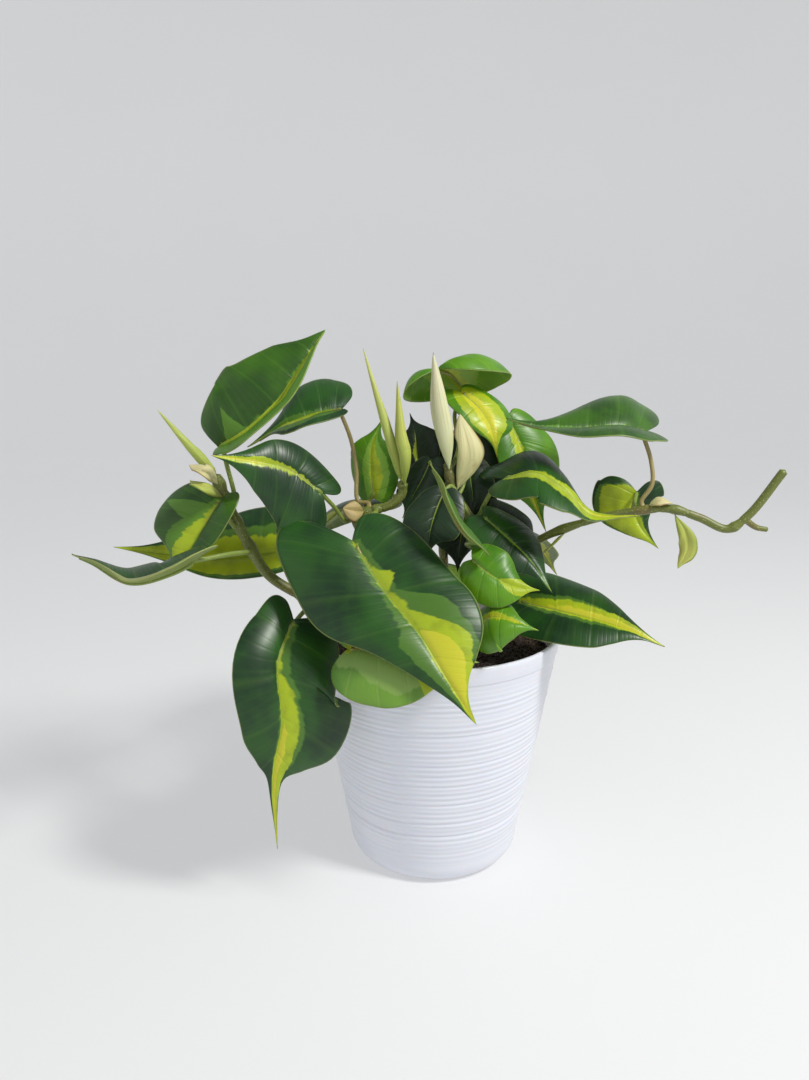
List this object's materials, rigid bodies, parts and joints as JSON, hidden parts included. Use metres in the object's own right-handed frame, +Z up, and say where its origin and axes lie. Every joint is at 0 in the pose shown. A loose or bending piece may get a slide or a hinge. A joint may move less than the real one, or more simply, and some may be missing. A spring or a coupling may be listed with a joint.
{
  "type": "potted philodendron",
  "caption": "Trailing heart-leaf houseplant with lime-striped leaves and papery sheaths, growing in a ribbed, tapered white plastic pot of dark soil.",
  "frame": {"origin": "centre of the pot's underside, where the pot stands", "axes": "+Z up, -Y towards the front of the plant, where the large striped leaf hangs over the rim, +X towards the long right-hand vine"},
  "size_m": [0.3259, 0.1805, 0.2712],
  "materials": {
    "pot": "white moulded plastic, fine ribs all round",
    "soil": "dark damp potting mix",
    "stem": "olive green to reddish brown bark with nodes",
    "sheath": "cream and pale green papery sheath",
    "leaf": "dark green leaf with lime and yellow streaks, satin"
  },
  "bodies": {
    "root": {"vine_left": "stem", "vine_right": "stem", "stem_centre": "stem", "stem_tall": "stem", "stem_back": "stem", "leaf_left_top": "leaf", "leaf_left_back": "leaf", "leaf_left_glossy": "leaf", "leaf_left_mid": "leaf", "leaf_left_folded": "leaf", "leaf_left_lime": "leaf", "leaf_front_large": "leaf", "leaf_left_hanging": "leaf", "leaf_front_low": "leaf", "leaf_centre_upright": "leaf", "leaf_centre_small": "leaf", "leaf_centre_back": "leaf", "leaf_centre_shaded": "leaf", "leaf_centre_low": "leaf", "leaf_centre_dark": "leaf", "leaf_edge_on": "leaf", "leaf_top_umbrella": "leaf", "leaf_centre_yellow": "leaf", "leaf_back_hanging": "leaf", "leaf_centre_under": "leaf", "leaf_right_top": "leaf", "leaf_right_wavy": "leaf", "leaf_right_node": "leaf", "leaf_right_dark": "leaf", "leaf_right_shaded": "leaf", "leaf_right_curled": "leaf", "leaf_rim_rolled": "leaf", "leaf_right_low": "leaf", "leaf_back_left": "leaf", "leaf_back_right": "leaf", "leaf_back_low": "leaf", "leaf_back_top": "leaf", "new_leaf_left": "sheath", "new_leaf_centre": "sheath", "sheath_centre_white": "sheath", "sheath_tall_front": "sheath", "sheath_tall_papery": "sheath", "sheath_tall_green": "sheath", "sheath_left_cream": "sheath", "sheath_left_lime": "sheath", "sheath_centre_tan": "sheath", "sheath_right_cream": "sheath", "sheath_right_hanging": "sheath", "sheath_right_base": "sheath", "pot": "pot", "soil": "soil"}
  },
  "joints": []
}
